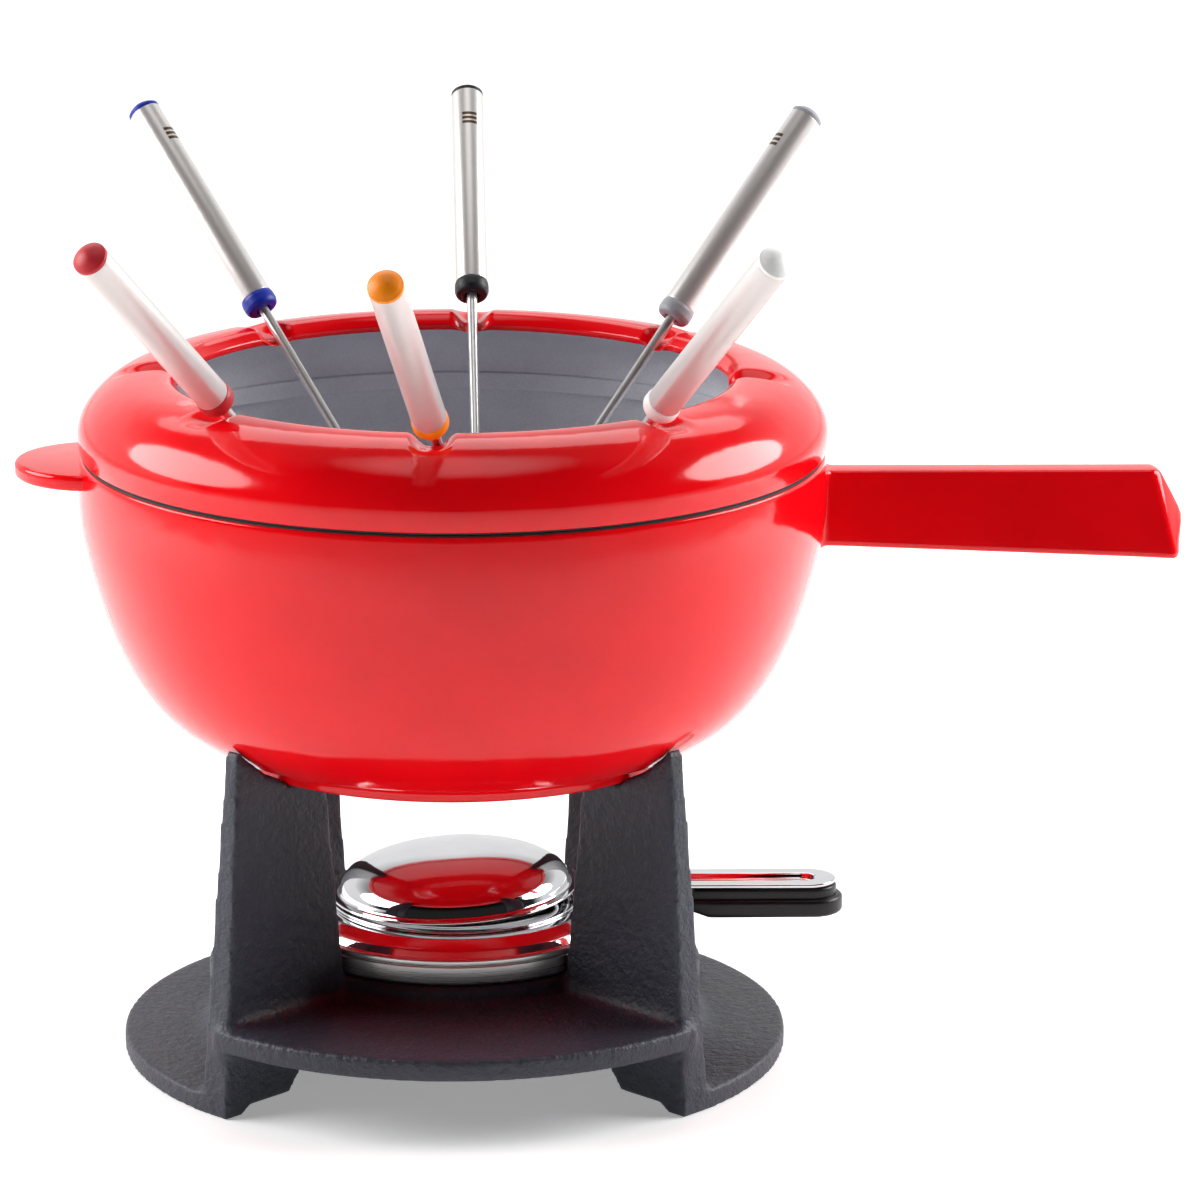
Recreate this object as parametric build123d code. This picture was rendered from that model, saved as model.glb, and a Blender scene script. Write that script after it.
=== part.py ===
from build123d import *
import math
import os

# Fondue pot set. Millimetres. Origin on the pot's axis at table level, +Z up,
# +X along the pot handle and the burner grip.

# ---------------------------------------------------------------- driving dimensions
# stand
BASE_R = 99.7
REAR_PLATE_R = 93.0
WING_TOP_Z = 6.0
WING_BOTTOM_Z = 2.0
PLATE_BOTTOM_Z = 20.1
PLATE_TOP_Z = 26.8
BOSS_R = 51.5
BOSS_TOP_Z = 32.3
RISER_INNER_R = 68.0
RISER_OUTER_R = 74.0
TIE_W = 16.0
TIE_T = 4.0
FIN_ANGLES = (45, 135, 225, 315)
FIN_BOTTOM_T = 11.0
FIN_TOP_T = 5.5
FIN_TOP_Z = 108.6
FIN_TOP_OUTER_R = 90.6
FIN_INNER_TOP_R = 56.0
FIN_INNER_LOW_R = 50.6
FOOT_LENGTH = 7.0
FOOT_STEP_Z = 2.0
UNDERCUT_R = 70.0
POT_GAP = 0.8
SHELF_Z = 94.7

# pot
SEAM_Z = 183.3
FOOT_Z = 94.8
FOOT_R = 71.0
FOOT_BAND = 2.8
FLOOR_Z = 100.3
BOWL = [(109.8, 183.3), (110.6, 170.0), (107.4, 149.0), (99.2, 125.0), (86.4, 106.4), (78.6, 100.4)]
BOWL_FOOT = (73.0, 98.6)
CAVITY = [(105.7, 183.3), (106.2, 169.0), (102.9, 149.6), (94.9, 127.2), (82.4, 109.8), (66.0, 101.2)]
CAVITY_FLOOR_R = 56.0

# pot handle and helper tab
HANDLE_TOP_Z = 177.0
HANDLE_ROOT_X = 106.0
HANDLE_ROOT_BOTTOM_Z = 155.0
HANDLE_END_BOTTOM_Z = 151.0
HANDLE_END_TOP_X = 208.0
HANDLE_END_X = 216.4
HANDLE_END_KNEE_Z = 162.0
HANDLE_TOP_W = 9.0
HANDLE_BOTTOM_W = 20.0
HANDLE_NOSE_R = 18.0
COLLAR_X = 112.2
COLLAR_EXTRA = 1.6
TAB_TIP_X = -129.4
TAB_TOP_Z = 180.4
TAB_T = 4.8
TAB_R = 24.0

# splash ring
RING_BOTTOM_Z = SEAM_Z + 0.1
RING_OUTER = [(110.0, 184.4), (110.6, 190.0), (106.6, 198.6), (98.6, 204.6), (88.5, 207.0)]
RING_LIP = [(88.5, 207.0), (84.0, 206.5), (81.25, 203.75)]
RING_INNER = [(83.2, 201.9), (90.0, 201.6), (98.0, 198.0), (103.6, 191.0), (103.6, 184.4)]
SPIGOT_R = 105.3
SPIGOT_BOTTOM_Z = 178.6
SPIGOT_INNER_R = 102.6
NOTCH_COUNT = 8
NOTCH_OFFSET = -3.9
NOTCH_CUTTER_R = 7.4
NOTCH_BELOW_FORK = 3.2
CREST_R = 86.0
CREST_Z = 206.6

# forks: name, notch number, turn from the notch, lean from vertical, heading, slide out
FORKS = [
    ("blue", 3, -1.4, 45.4, 133.0, 0.4),
    ("black", 2, -0.1, 46.4, 91.2, 0.5),
    ("grey", 1, 0.8, 43.1, 36.7, -1.1),
    ("red", 5, 0.8, 48.9, 236.4, -0.4),
    ("orange", 6, 0.4, 49.2, 258.4, -0.6),
    ("white", 7, -0.3, 48.3, 300.7, -1.3),
]
COLLAR_STANDOFF = 5.5
HANDLE_R = 5.0
HANDLE_BORE_R = 4.3
COLLAR_R = 5.3
COLLAR_H = 5.0
TUBE_END = 77.4
CAP_TOP = 80.7
PLUG_LENGTH = 7.0
ROD_R = 1.6
ROD_TIP_R = 1.3
ROD_LENGTH = 116.0
HEAD_LENGTH = 9.0
TINE_LENGTH = 21.0
TINE_GAP = 2.0
TINE_W = 1.4
TINE_T = 1.6

# burner
CUP_R = 50.0
CUP_BOTTOM_Z = 32.4
CUP_TOP_Z = 40.4
SHEET = 1.0
SHOULDER_R = 48.6
NECK_R = 38.0
NECK_Z = 44.4
MOUTH_R = 31.0
RING_PLATE_R = 37.6
RING_PLATE_T = 0.8
TANG_HALF_W = 7.0
TANG_END_X = 108.0
TANG_TOP_Z = 44.3
TANG_JOGGLE_X = 43.0
GRIP_START_X = 68.0
GRIP_END_X = 117.1
GRIP_HALF_W = 9.2
GRIP_BOTTOM_Z = 40.0
GRIP_TOP_Z = 45.5
RIVET_XS = (80.0, 100.0)
RIVET_R = 1.6
LID_R = 37.3
LID_DOME_R = 34.6
LID_DOME_H = 12.0
LID_T = 0.8
LID_Z = 48.1
LID_TILT = 2.7
LID_HANDLE_TOP_Z = 50.3
LID_HANDLE_T = 1.1
LID_HANDLE_END_X = 114.9
LID_HANDLE_HALF_W = 8.5
GROOVE_START_X = 50.0
GROOVE_END_X = 108.8
GROOVE_HALF_W = 3.4
GROOVE_DEPTH = 1.2


# ---------------------------------------------------------------- helpers
def turned(face):
    """Full turn of a face drawn in the XZ plane about the Z axis."""
    return revolve(face, axis=Axis.Z)


def outline(*edges):
    """Closed face from edges that follow each other in the XZ plane."""
    return make_face(Wire(list(edges)))


def xz(points):
    return [(r, 0, z) for r, z in points]


def run(*points):
    """Straight edges through (r, z) points."""
    pts = xz(points)
    return [Edge.make_line(a, b) for a, b in zip(pts, pts[1:])]


def curve(points):
    return Edge.make_spline([Vector(*p) for p in xz(points)])


def dome_arc(r, z_edge, z_top):
    """Arc of a sphere centred on the Z axis, from its edge up to its top."""
    height = z_top - z_edge
    ball = (r * r + height * height) / (2 * height)
    half = math.asin(r / ball) / 2
    middle = (ball * math.sin(half), 0, z_top - ball + ball * math.cos(half))
    return Edge.make_three_point_arc((r, 0, z_edge), middle, (0, 0, z_top))


def tube(r_out, r_in, z0, z1):
    solid = Pos(0, 0, z0) * extrude(Circle(r_out), z1 - z0)
    if r_in > 0:
        solid -= Pos(0, 0, z0 - 1) * extrude(Circle(r_in), z1 - z0 + 2)
    return solid


def block(x0, x1, y0, y1, z0, z1):
    centre = ((x0 + x1) / 2, (y0 + y1) / 2, (z0 + z1) / 2)
    return Pos(*centre) * Box(x1 - x0, y1 - y0, z1 - z0)


def wedge(angle, spread, reach, z0, z1):
    """Triangular prism with its point on the Z axis, used to cut out a sector."""
    half = math.radians(spread / 2)
    far = reach / math.cos(half)
    x, y = far * math.cos(half), far * math.sin(half)
    corners = [(0, 0), (x, -y), (x, y)]
    face = make_face(Polyline(*corners, close=True))
    return Rot(0, 0, angle) * Pos(0, 0, z0) * extrude(face, z1 - z0)


def sector(r_out, r_in, z0, z1, angle, spread=90.0):
    return tube(r_out, r_in, z0, z1) & wedge(angle, spread, 2 * r_out, z0 - 1, z1 + 1)


def save(name, shape):
    shape.label = name
    export_step(shape, f"parts/{name}.step")


# ---------------------------------------------------------------- stand
def fin():
    """One radial fin along +X: drafted plate that carries the pot and ends in a foot."""
    rest = [(x + POT_GAP * 0.75, z - POT_GAP * 0.65) for x, z in BOWL[-2:]]
    notch_r = FOOT_R + POT_GAP
    points = [
        (BASE_R, 0.0),
        (FIN_TOP_OUTER_R, FIN_TOP_Z - 2.0),
        (FIN_TOP_OUTER_R - 1.2, FIN_TOP_Z),
        rest[0],
        rest[1],
        (notch_r + 1.6, SHELF_Z + 2.4),
        (notch_r, SHELF_Z + 1.6),
        (notch_r, SHELF_Z),
        (FIN_INNER_TOP_R, SHELF_Z),
        (FIN_INNER_LOW_R, BOSS_TOP_Z),
        (FIN_INNER_LOW_R - 3.0, PLATE_BOTTOM_Z),
        (UNDERCUT_R - 4.0, PLATE_BOTTOM_Z),
        (UNDERCUT_R, FOOT_STEP_Z + 5.0),
        (UNDERCUT_R + 4.0, FOOT_STEP_Z),
        (BASE_R - FOOT_LENGTH - 2.5, FOOT_STEP_Z),
        (BASE_R - FOOT_LENGTH, 0.0),
    ]
    face = make_face(Polyline(*[(r, 0, z) for r, z in points], close=True))
    plate = extrude(face, FIN_BOTTOM_T / 2, dir=(0, 1, 0), both=True)
    draft = tapered_prism(FIN_BOTTOM_T, FIN_TOP_T, 0, FIN_TOP_Z)
    return (plate & draft) & tube(BASE_R, 0, -1, FIN_TOP_Z + 1)


def stand():
    # raised middle with the burner's seat on it, and a raised plate in front and behind
    body = tube(BOSS_R, 0, PLATE_BOTTOM_Z, BOSS_TOP_Z)
    body += tube(RISER_OUTER_R, 0, PLATE_BOTTOM_Z, PLATE_TOP_Z)
    body += sector(BASE_R, RISER_INNER_R, PLATE_BOTTOM_Z, PLATE_TOP_Z, 270)
    body += sector(REAR_PLATE_R, RISER_INNER_R, PLATE_BOTTOM_Z, PLATE_TOP_Z, 90)
    # low wing on each side, its rim down on the table, and the wall that rises from it to the middle
    for angle in (0, 180):
        body += sector(BASE_R, RISER_INNER_R, WING_BOTTOM_Z, WING_TOP_Z, angle)
        body += sector(BASE_R, BASE_R - FOOT_LENGTH, 0, WING_TOP_Z, angle)
        body += sector(RISER_OUTER_R, RISER_INNER_R, WING_BOTTOM_Z, PLATE_TOP_Z, angle)
    # low rib under the middle that ties the two wings' rims together
    reach = BASE_R - FOOT_LENGTH / 2
    body += block(-reach, reach, -TIE_W / 2, TIE_W / 2, 0, TIE_T)
    one_fin = fin()
    for angle in FIN_ANGLES:
        body += Rot(0, 0, angle) * one_fin
    return body


# ---------------------------------------------------------------- pot
def bowl_outer():
    """The bowl's outer shape, filled to the axis."""
    foot = [BOWL[-1], BOWL_FOOT, (FOOT_R, FOOT_Z + FOOT_BAND)]
    foot += [(FOOT_R, FOOT_Z + 0.8), (FOOT_R - 0.8, FOOT_Z)]
    close = [(0, FOOT_Z), (0, SEAM_Z), BOWL[0]]
    return turned(outline(curve(BOWL), *run(*foot, *close)))


def bowl_cavity():
    floor = [CAVITY[-1], (CAVITY_FLOOR_R, FLOOR_Z), (0, FLOOR_Z), (0, SEAM_Z), CAVITY[0]]
    above = Pos(0, 0, SEAM_Z) * extrude(Circle(CAVITY[0][0]), 20)
    return turned(outline(curve(CAVITY), *run(*floor))) + above


def tapered_prism(low_w, high_w, z0, z1):
    """Long prism along +X, low_w wide at z0 and high_w wide at z1."""
    section = [(0, -low_w / 2, z0), (0, low_w / 2, z0), (0, high_w / 2, z1), (0, -high_w / 2, z1)]
    return extrude(make_face(Polyline(*section, close=True)), 2 * HANDLE_END_X, dir=(1, 0, 0))


def pot_handle():
    side = [
        (HANDLE_ROOT_X, HANDLE_TOP_Z),
        (HANDLE_END_TOP_X, HANDLE_TOP_Z),
        (HANDLE_END_X, HANDLE_END_KNEE_Z),
        (HANDLE_END_X - 1.0, HANDLE_END_BOTTOM_Z),
        (HANDLE_ROOT_X, HANDLE_ROOT_BOTTOM_Z),
    ]
    face = make_face(Polyline(*xz(side), close=True))
    bar = extrude(face, HANDLE_BOTTOM_W, dir=(0, 1, 0), both=True)
    bar = bar & tapered_prism(HANDLE_BOTTOM_W, HANDLE_TOP_W, HANDLE_END_BOTTOM_Z, HANDLE_TOP_Z)
    # the end is rounded in plan
    back = HANDLE_END_X - HANDLE_NOSE_R
    low, high = HANDLE_END_BOTTOM_Z - 5, HANDLE_TOP_Z + 5
    nose = Pos(back, 0, low) * extrude(Circle(HANDLE_NOSE_R), high - low)
    bar = bar & (nose + block(0, back, -HANDLE_BOTTOM_W, HANDLE_BOTTOM_W, low, high))
    grow = 2 * COLLAR_EXTRA
    z0, z1 = HANDLE_ROOT_BOTTOM_Z - COLLAR_EXTRA, HANDLE_TOP_Z + COLLAR_EXTRA / 2
    collar = block(HANDLE_ROOT_X, COLLAR_X, -HANDLE_BOTTOM_W, HANDLE_BOTTOM_W, z0, z1)
    return bar + (collar & tapered_prism(HANDLE_BOTTOM_W + grow, HANDLE_TOP_W + grow, z0, z1))


def helper_tab():
    z0 = TAB_TOP_Z - TAB_T
    disc = Pos(TAB_TIP_X + TAB_R, 0, z0) * extrude(Circle(TAB_R), TAB_T)
    root = block(TAB_TIP_X + TAB_R, -100, -TAB_R, TAB_R, z0, TAB_TOP_Z)
    return disc + root


def pot():
    return (bowl_outer() + pot_handle() + helper_tab()) - bowl_cavity()


# ---------------------------------------------------------------- splash ring
def notch_angle(number):
    return number * 360.0 / NOTCH_COUNT + NOTCH_OFFSET


def splash_ring():
    shell = [curve(RING_OUTER), curve(RING_LIP)]
    shell += run(RING_LIP[-1], RING_INNER[0])
    shell += [curve(RING_INNER)]
    shell += run(
        RING_INNER[-1],
        (SPIGOT_INNER_R, RING_BOTTOM_Z),
        (SPIGOT_INNER_R, SPIGOT_BOTTOM_Z),
        (SPIGOT_R, SPIGOT_BOTTOM_Z),
        (SPIGOT_R, RING_BOTTOM_Z),
        (109.4, RING_BOTTOM_Z),
        RING_OUTER[0],
    )
    ring = turned(outline(*shell))
    lift = (NOTCH_CUTTER_R - NOTCH_BELOW_FORK) / math.sqrt(2)
    trough = extrude(Circle(NOTCH_CUTTER_R), 18, both=True)
    cutter = Pos(CREST_R - lift, 0, CREST_Z + lift) * Rot(0, 45, 0) * trough
    for number in range(NOTCH_COUNT):
        ring -= Rot(0, 0, notch_angle(number)) * cutter
    return ring


# ---------------------------------------------------------------- forks
def fork_place(number, turn, lean, heading, slide):
    """Frame at the collar's lower end, its Z axis along the handle, away from the pot."""
    around = math.radians(notch_angle(number) + turn)
    tilt, aim = math.radians(lean), math.radians(heading)
    along = Vector(math.sin(tilt) * math.cos(aim), math.sin(tilt) * math.sin(aim), math.cos(tilt))
    crest = Vector(CREST_R * math.cos(around), CREST_R * math.sin(around), CREST_Z)
    level = Vector(-math.sin(aim), math.cos(aim), 0)
    return Plane(origin=crest + along * (COLLAR_STANDOFF + slide), x_dir=level, z_dir=along)


def fork_rod():
    inner = COLLAR_H + PLUG_LENGTH - 2.0
    side = [(0, inner), (ROD_R, inner), (ROD_R, 0), (ROD_TIP_R, -ROD_LENGTH), (0, -ROD_LENGTH), (0, inner)]
    stem = turned(outline(*run(*side)))
    half = TINE_GAP / 2 + TINE_W
    root_z = -ROD_LENGTH - HEAD_LENGTH
    tip_z = root_z - TINE_LENGTH
    blade = [
        (-ROD_TIP_R, 0, -ROD_LENGTH + 0.5),
        (ROD_TIP_R, 0, -ROD_LENGTH + 0.5),
        (half, 0, root_z + 2.0),
        (half, 0, tip_z + 3.5),
        (half - 0.9, 0, tip_z),
        (TINE_GAP / 2, 0, tip_z + 2.5),
        (TINE_GAP / 2, 0, root_z),
        (-TINE_GAP / 2, 0, root_z),
        (-TINE_GAP / 2, 0, tip_z + 2.5),
        (-half + 0.9, 0, tip_z),
        (-half, 0, tip_z + 3.5),
        (-half, 0, root_z + 2.0),
    ]
    head = extrude(make_face(Polyline(*blade, close=True)), TINE_T / 2, dir=(0, 1, 0), both=True)
    return stem + head


def fork_collar():
    top = COLLAR_H + PLUG_LENGTH
    edges = run((ROD_R, 0), (ROD_R + 1.4, 0))
    edges += [Edge.make_three_point_arc((ROD_R + 1.4, 0, 0), (4.6, 0, 1.0), (COLLAR_R, 0, 2.6))]
    edges += run((COLLAR_R, 2.6), (COLLAR_R, COLLAR_H), (HANDLE_BORE_R, COLLAR_H), (HANDLE_BORE_R, top))
    edges += run((HANDLE_BORE_R, top), (0, top), (0, top - 2.0), (ROD_R, top - 2.0), (ROD_R, 0))
    return turned(outline(*edges))


def fork_handle():
    return tube(HANDLE_R, HANDLE_BORE_R, COLLAR_H, TUBE_END)


def fork_cap():
    low = TUBE_END - PLUG_LENGTH
    edges = run((0, low), (HANDLE_BORE_R, low), (HANDLE_BORE_R, TUBE_END), (HANDLE_R, TUBE_END))
    edges += run((HANDLE_R, TUBE_END), (HANDLE_R, TUBE_END + 1.2))
    edges += [dome_arc(HANDLE_R, TUBE_END + 1.2, CAP_TOP)]
    edges += run((0, CAP_TOP), (0, low))
    return turned(outline(*edges))


# ---------------------------------------------------------------- burner
def burner_cup():
    inner_r, lip = CUP_R - SHEET, 0.35
    points = [
        (0, CUP_BOTTOM_Z),
        (CUP_R - 0.8, CUP_BOTTOM_Z),
        (CUP_R, CUP_BOTTOM_Z + 0.8),
        (CUP_R, CUP_TOP_Z - 2.2),
        (CUP_R - lip, CUP_TOP_Z - 1.9),
        (CUP_R, CUP_TOP_Z - 1.6),
        (CUP_R, CUP_TOP_Z - 0.4),
        (CUP_R - 0.4, CUP_TOP_Z),
        (inner_r, CUP_TOP_Z),
        (inner_r, CUP_BOTTOM_Z + SHEET),
        (0, CUP_BOTTOM_Z + SHEET),
        (0, CUP_BOTTOM_Z),
    ]
    return turned(outline(*run(*points)))


def burner_top():
    """Shoulder shell pressed into the cup, with the flame mouth in its raised centre."""
    mid = ((SHOULDER_R + NECK_R) / 2 + 0.3, (CUP_TOP_Z + NECK_Z) / 2 + 0.5)
    edge_r = CUP_R - SHEET - 0.05
    edges = [Edge.make_three_point_arc(*xz([(SHOULDER_R, CUP_TOP_Z), mid, (NECK_R, NECK_Z)]))]
    low, edge_low = NECK_Z - SHEET, CUP_TOP_Z - 1.2
    under = [(NECK_R - 0.3, low), (mid[0] - 0.6, mid[1] - SHEET), (SHOULDER_R - 1.0, CUP_TOP_Z - 0.6)]
    edges += run((NECK_R, NECK_Z), (MOUTH_R, NECK_Z), (MOUTH_R, low), under[0])
    edges += [Edge.make_three_point_arc(*xz(under))]
    edges += run(under[-1], (SHOULDER_R - 1.0, edge_low), (edge_r, edge_low), (edge_r, CUP_TOP_Z))
    edges += run((edge_r, CUP_TOP_Z), (SHOULDER_R, CUP_TOP_Z))
    return turned(outline(*edges))


def burner_tang():
    """Flat ring on the burner's mouth with the strip that carries the grip."""
    ring = tube(RING_PLATE_R, MOUTH_R, NECK_Z, NECK_Z + RING_PLATE_T)
    tongue = block(MOUTH_R + 2, TANG_JOGGLE_X, -TANG_HALF_W, TANG_HALF_W, NECK_Z, NECK_Z + RING_PLATE_T)
    low = TANG_TOP_Z - RING_PLATE_T
    step = block(TANG_JOGGLE_X - 1, TANG_JOGGLE_X, -TANG_HALF_W, TANG_HALF_W, low, NECK_Z + RING_PLATE_T)
    strip = block(TANG_JOGGLE_X - 1, TANG_END_X, -TANG_HALF_W, TANG_HALF_W, low, TANG_TOP_Z)
    shape = ring + tongue + step + strip
    for x in RIVET_XS:
        shape -= Pos(x, 0, 0) * tube(RIVET_R, 0, 30, 60)
    return shape


def burner_grip():
    radius = GRIP_HALF_W
    end = Pos(GRIP_END_X - radius, 0, GRIP_BOTTOM_Z) * extrude(Circle(radius), GRIP_TOP_Z - GRIP_BOTTOM_Z)
    bar = block(GRIP_START_X, GRIP_END_X - radius, -radius, radius, GRIP_BOTTOM_Z, GRIP_TOP_Z)
    grip = bar + end
    chamfer = [
        (GRIP_START_X - 1, 0, GRIP_BOTTOM_Z - 1),
        (GRIP_START_X + 10, 0, GRIP_BOTTOM_Z - 1),
        (GRIP_START_X + 8.5, 0, GRIP_BOTTOM_Z),
        (GRIP_START_X, 0, GRIP_BOTTOM_Z + 3.2),
        (GRIP_START_X - 1, 0, GRIP_BOTTOM_Z + 3.2),
    ]
    grip -= extrude(make_face(Polyline(*chamfer, close=True)), 2 * radius, dir=(0, 1, 0), both=True)
    low = TANG_TOP_Z - RING_PLATE_T
    grip -= block(GRIP_START_X - 1, TANG_END_X, -TANG_HALF_W, TANG_HALF_W, low, TANG_TOP_Z)
    for x in RIVET_XS:
        grip -= Pos(x, 0, 0) * tube(RIVET_R, 0, 30, 60)
    return grip


def burner_rivets():
    pins = [Pos(x, 0, 0) * tube(RIVET_R, 0, GRIP_BOTTOM_Z, GRIP_TOP_Z) for x in RIVET_XS]
    return Compound(children=pins)


def burner_lid():
    """Domed regulator lid: dome and flange tilted a little, with a pressed strip handle."""
    ball = (LID_DOME_R**2 + LID_DOME_H**2) / (2 * LID_DOME_H)
    inner_foot = math.sqrt((ball - LID_T) ** 2 - (ball - LID_DOME_H - LID_T) ** 2)
    edges = [dome_arc(LID_DOME_R, 0, LID_DOME_H), dome_arc(inner_foot, -LID_T, LID_DOME_H - LID_T)]
    edges += run((LID_DOME_R, 0), (LID_R, 0), (LID_R, -LID_T), (inner_foot, -LID_T))
    edges += run((0, LID_DOME_H - LID_T), (0, LID_DOME_H))
    cover = Pos(0, 0, LID_Z) * Rot(0, -LID_TILT, 0) * turned(outline(*edges))
    z1 = LID_HANDLE_TOP_Z
    z0 = z1 - LID_HANDLE_T
    end = LID_HANDLE_END_X - LID_HANDLE_HALF_W
    strip = block(LID_DOME_R + 1.2, end, -LID_HANDLE_HALF_W, LID_HANDLE_HALF_W, z0, z1)
    strip += Pos(end, 0, z0) * extrude(Circle(LID_HANDLE_HALF_W), LID_HANDLE_T)
    rib_w = GROOVE_HALF_W + LID_HANDLE_T
    rib = slot_bar(GROOVE_START_X - LID_HANDLE_T, GROOVE_END_X + LID_HANDLE_T, rib_w, z0 - GROOVE_DEPTH, z1)
    groove = slot_bar(GROOVE_START_X, GROOVE_END_X, GROOVE_HALF_W, z1 - GROOVE_DEPTH, z1 + 1)
    return cover + ((strip + rib) - groove)


def slot_bar(x0, x1, half_w, z0, z1):
    """Round-ended bar along X."""
    bar = block(x0 + half_w, x1 - half_w, -half_w, half_w, z0, z1)
    for x in (x0 + half_w, x1 - half_w):
        bar += Pos(x, 0, z0) * extrude(Circle(half_w), z1 - z0)
    return bar


# ---------------------------------------------------------------- write every piece
def main():
    os.makedirs("parts", exist_ok=True)
    save("stand", stand())
    save("pot", pot())
    save("splash_ring", splash_ring())
    save("burner_cup", burner_cup())
    save("burner_wick_pad", tube(46.0, 0, CUP_BOTTOM_Z + SHEET, 38.0))
    save("burner_gauze", tube(47.0, 0, 38.0, 38.8))
    save("burner_top", burner_top())
    save("burner_tang", burner_tang())
    save("burner_grip", burner_grip())
    save("burner_grip_rivets", burner_rivets())
    save("burner_lid", burner_lid())
    pieces = {"rod": fork_rod(), "collar": fork_collar(), "handle": fork_handle(), "cap": fork_cap()}
    for name, *place in FORKS:
        location = fork_place(*place).location
        for piece, shape in pieces.items():
            save(f"fork_{name}_{piece}", location * shape)


main()
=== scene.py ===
import math

import bmesh
import bpy
import numpy as np
from mathutils import Matrix, Vector


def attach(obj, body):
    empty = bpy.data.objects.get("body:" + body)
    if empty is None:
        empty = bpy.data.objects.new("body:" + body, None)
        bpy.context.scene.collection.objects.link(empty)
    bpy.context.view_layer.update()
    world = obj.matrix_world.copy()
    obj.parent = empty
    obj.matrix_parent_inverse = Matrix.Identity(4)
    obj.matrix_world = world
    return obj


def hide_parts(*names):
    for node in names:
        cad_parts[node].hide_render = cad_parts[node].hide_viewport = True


# Fondue pot set: the looks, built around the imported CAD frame. Shapes are in millimetres until piece()
# turns them into metres. Origin on the pot's axis at table level, +Z up, +X along the pot handle and the
# burner grip. Profiles are (r, z) points, or (r, z, radius) where a corner is rounded.

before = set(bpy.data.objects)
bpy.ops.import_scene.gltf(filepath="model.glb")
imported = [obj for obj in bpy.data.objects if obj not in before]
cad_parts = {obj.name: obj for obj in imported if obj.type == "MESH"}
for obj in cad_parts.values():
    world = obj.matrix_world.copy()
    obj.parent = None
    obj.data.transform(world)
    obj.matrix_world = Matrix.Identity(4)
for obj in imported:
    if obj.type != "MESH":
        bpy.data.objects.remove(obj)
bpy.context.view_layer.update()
scene = bpy.context.scene
MM = 0.001
SHARP_ANGLE = 40.0

# ---------------------------------------------------------------- dimensions in millimetres
# stand
BURNER_SEAT_Z = 32.3
SEAT_CLEAR_R = 49.0
CUP_CLEARANCE = 0.3
CUP_ZONE_TOP_Z = 60.0
STAND_VOXEL = 0.9
SOFTEN_STEPS = 3
FILL_STEPS = 60
UPDATE_EVERY = 5

# pot
SEAM_Z = 183.3
FOOT_Z = 94.8
FOOT_R = 71.0
FLOOR_Z = 100.3
BOWL = [(109.8, 183.3), (110.6, 170.0), (107.4, 149.0), (99.2, 125.0), (86.4, 106.4), (78.6, 100.4)]
FOOT = [
    BOWL[-1],
    (FOOT_R, 97.96, 2.4),
    (FOOT_R, FOOT_Z, 1.0),
    (64.0, FOOT_Z, 0.6),
    (63.0, FOOT_Z + 1.0, 0.6),
    (0, FOOT_Z + 1.0),
]
CAVITY = [(105.7, 183.3), (106.2, 169.0), (102.9, 149.6), (94.9, 127.2), (82.4, 109.8), (66.0, 101.2)]
CAVITY_FLOOR_R = 56.0
CAVITY_CORNER_R = 12.0
COAT = 0.4
RIM_H = 0.55
RIM_INNER_R = 105.7
RIM_OUTER_R = 109.2
LIP_INNER_R = 106.0
LIP_OUTER_R = 109.75

# pot handle and tab
HANDLE_TOP_Z = 177.0
HANDLE_ROOT_X = 112.2
HANDLE_ROOT_BOTTOM_Z = 155.0
HANDLE_END_X = 216.4
HANDLE_END_BOTTOM_Z = 151.0
HANDLE_STRAIGHT_END_X = 200.0
HANDLE_TOP_W = 9.0
HANDLE_BOTTOM_W = 20.0
HANDLE_TAPER = (HANDLE_BOTTOM_W - HANDLE_TOP_W) / (HANDLE_TOP_Z - HANDLE_END_BOTTOM_Z)
HANDLE_END = [(209.3, 177.0), (216.4, 163.0, 8.0), (216.2, 151.0)]
HANDLE_END_BULGE = [(151.0, 2.0), (162.0, 4.6), (177.0, 1.6)]
HANDLE_END_EDGE = 1.6
HANDLE_EDGE = 1.5
HANDLE_FILLET = 2.2
HANDLE_TOP_FILLET_SHARE = 0.25
HANDLE_SINK = 2.0
SKIN_OVERLAP = 0.1
TAB_TIP_X = -129.4
TAB_ROOT_X = -98.0
TAB_CORNER_X = -104.6
TAB_CORNER_R = 3.5
TAB_FLARE = 3.2
TAB_ROOT_HALF_W = 27.4
TAB_R = 24.0
TAB_ARC = (98.0, 262.0)
TAB_TOP_Z = 180.4
TAB_T = 4.8
TAB_EDGE = 1.5

# splash ring
RING_BOTTOM_Z = 183.4
RING_SKIN_Z = RING_BOTTOM_Z + RIM_H
RING_OUTER = [
    (110.0, 184.4),
    (110.6, 190.0),
    (106.6, 198.6),
    (98.6, 204.6),
    (88.5, 207.0),
    (84.0, 206.5),
    (81.25, 203.75),
]
RING_LIP = (82.0, 201.9, 0.8)
RING_INNER = [(83.2, 201.9), (90.0, 201.6), (98.0, 198.0), (103.6, 191.0), (103.6, 184.4)]
RING_FOOT = [(103.9, RING_SKIN_Z), (109.9, RING_SKIN_Z, 0.6), (110.05, 185.6)]
RING_FOOT_TOP_Z = 185.4
RING_RIM_R = 109.3
SPIGOT_R = 105.3
SPIGOT_BOTTOM_Z = 178.6
SPIGOT_INNER_R = 102.6
NOTCH_COUNT = 8
NOTCH_OFFSET = -3.9
NOTCH_DEPTH = 3.7
NOTCH_HALF_W = 5.6
NOTCH_OUTER_R = 101.0
NOTCH_UNDER_SHARE = 0.12
NOTCH_UNDER_Z = 201.9
NOTCH_SKIN_Z = 205.2
CREST_R = 86.0
CREST_Z = 206.6
RING_SEGMENTS = 1024

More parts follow.
